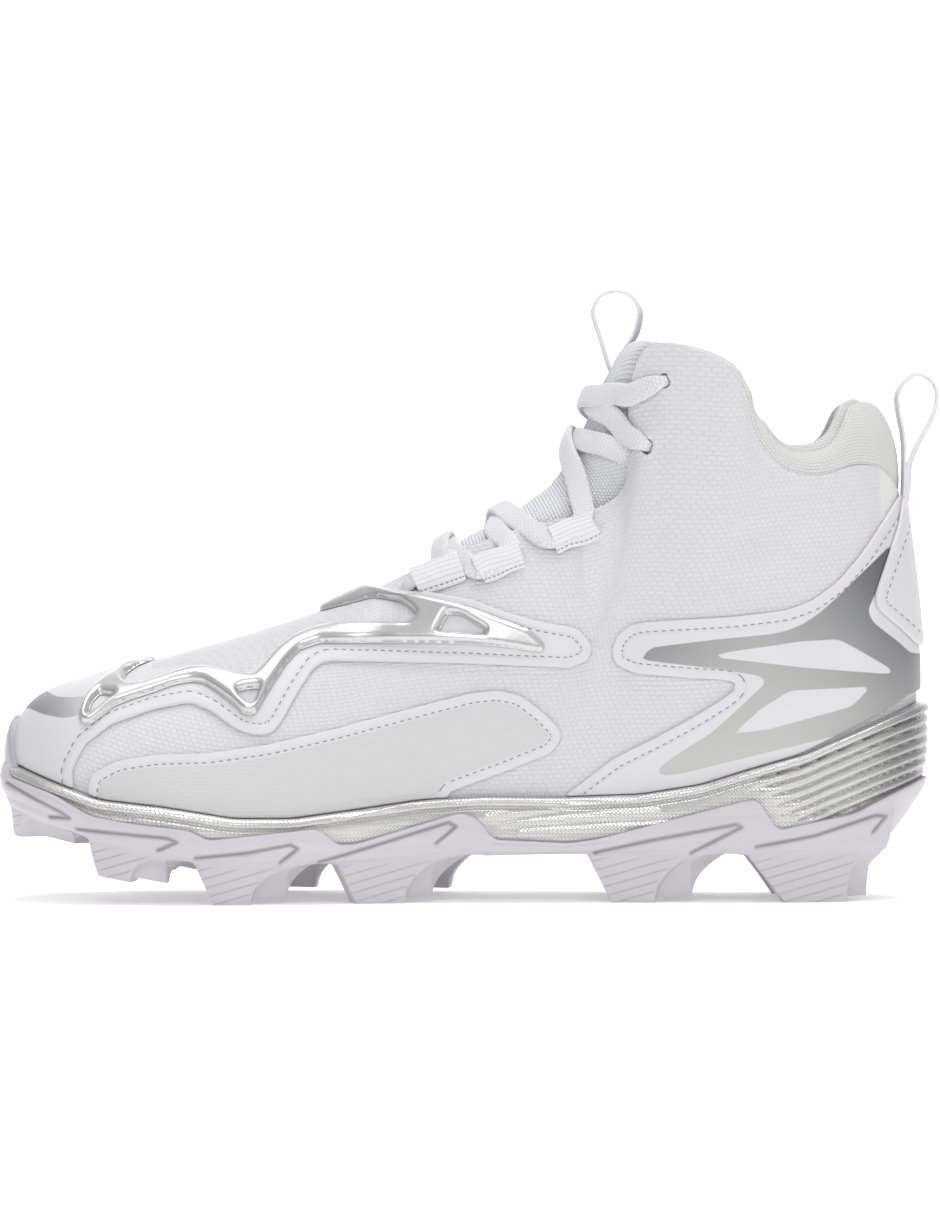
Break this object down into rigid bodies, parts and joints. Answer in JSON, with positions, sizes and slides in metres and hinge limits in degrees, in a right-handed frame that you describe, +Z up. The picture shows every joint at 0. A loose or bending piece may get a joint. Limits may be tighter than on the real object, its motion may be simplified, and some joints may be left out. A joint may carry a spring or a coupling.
{
  "type": "baseball cleat",
  "caption": "Mid-cut moulded baseball cleat with a hollow textile upper, lacing, synthetic overlays, a forefoot cage, a metallic midsole and a studded outsole for grip on turf and dirt.",
  "frame": {"origin": "centre of the shoe's bounding box, on the floor under the studs", "axes": "+X to the heel, -X to the toe, -Y to the inner (big-toe) side, +Z up"},
  "size_m": [0.3004, 0.104, 0.1959],
  "materials": {
    "white_textile": "embossed woven polyester",
    "white_synthetic": "smooth matt synthetic leather",
    "white_rubber": "moulded satin",
    "silver_foam": "metallic coating on moulded foam",
    "silver_cage": "metallic moulded film",
    "knit": "padded knit",
    "lace": "woven polyester",
    "webbing": "woven tape"
  },
  "bodies": {
    "root": {"outsole": "white_rubber", "midsole": "silver_foam", "insole": "knit", "upper": "white_textile", "tongue": "knit", "collar": "knit", "vamp_overlay": "white_synthetic", "forefoot_cage": "silver_cage", "forefoot_panel_inner": "white_synthetic", "forefoot_panel_outer": "white_synthetic", "heel_counter": "white_synthetic", "heel_tab": "white_synthetic", "lace": "lace", "lace_loop_inner_1": "webbing", "lace_loop_inner_2": "webbing", "lace_loop_inner_3": "webbing", "lace_loop_outer_1": "webbing", "lace_loop_outer_2": "webbing", "lace_loop_outer_3": "webbing", "tongue_pull": "webbing", "heel_pull": "webbing"}
  },
  "joints": []
}
